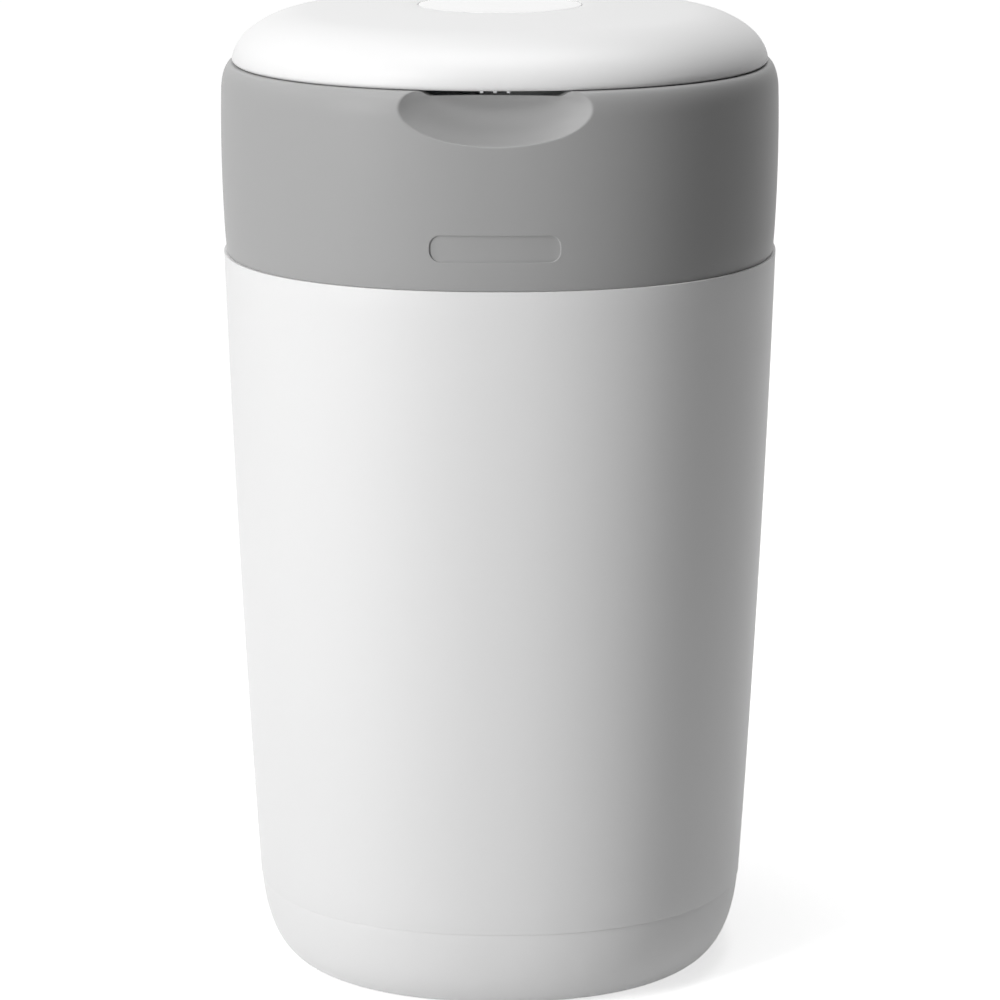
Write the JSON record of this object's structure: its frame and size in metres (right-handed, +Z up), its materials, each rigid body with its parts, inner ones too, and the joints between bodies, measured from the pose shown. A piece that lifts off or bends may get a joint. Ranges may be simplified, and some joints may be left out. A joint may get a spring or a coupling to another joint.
{
  "type": "nappy bin",
  "caption": "Tapered nappy bin with a domed flip lid, a tipping head and a turning ring that twists film from a cassette round each nappy.",
  "frame": {"origin": "on the floor under the middle of the bin", "axes": "+Z up; the front with the finger scoop and badge recess faces -Y; +X to the bin's left as it faces the user, the right of a front view"},
  "size_m": [0.26, 0.26, 0.4563],
  "materials": {
    "white_casing": "satin moulded plastic, fine grain",
    "grey_casing": "satin moulded plastic, fine grain",
    "gloss_white": "polished moulded plastic",
    "inner_white": "satin moulded plastic",
    "dark_rubber": "soft moulded elastomer",
    "pale_rubber": "soft moulded elastomer",
    "film": "thin gathered polyethylene film",
    "cassette_plastic": "thin moulded plastic",
    "button": "moulded plastic",
    "steel": "bright drawn steel"
  },
  "bodies": {
    "tub": {"tub_shell": "white_casing", "base_shell": "white_casing", "head_hinge_pin": "steel"},
    "head": {"collar_shell": "grey_casing", "head_deck": "inner_white", "cassette_cup": "inner_white", "grip_diaphragm": "dark_rubber", "diaphragm_clamp": "inner_white", "click_pawl": "inner_white", "lid_hinge_pin": "steel", "deck_screw_1": "steel", "deck_screw_2": "steel", "deck_screw_3": "steel", "deck_screw_4": "steel"},
    "ring": {"twist_ring": "inner_white", "cassette_tray": "cassette_plastic", "cassette_cap": "cassette_plastic", "film_pack": "film", "film_lead": "film"},
    "cutter": {"cutter_button": "button", "cutter_blade": "steel", "cutter_spring": "steel"},
    "lid": {"lid_shell": "white_casing", "lid_inlay": "gloss_white", "lid_liner": "inner_white", "lid_plug": "inner_white", "lid_seal": "pale_rubber"}
  },
  "joints": [
    {"name": "head_hinge", "type": "hinge", "parent": "tub", "child": "head", "pos_m": [0, 0.1255, 0.342], "axis": [-1, 0, 0], "range_deg": [0, 90]},
    {"name": "lid_hinge", "type": "hinge", "parent": "head", "child": "lid", "pos_m": [0, 0.126, 0.43], "axis": [-1, 0, 0], "range_deg": [0, 100]},
    {"name": "ring_turn", "type": "hinge", "parent": "head", "child": "ring", "pos_m": [0, 0, 0.4], "axis": [0, 0, 1], "continuous": true},
    {"name": "cutter_press", "type": "slide", "parent": "ring", "child": "cutter", "axis": [0, 0, -1], "range_m": [0, 0.004], "stiffness_N_per_m": 250, "springref_m": -0.002, "deforming": ["cutter_spring"]}
  ]
}
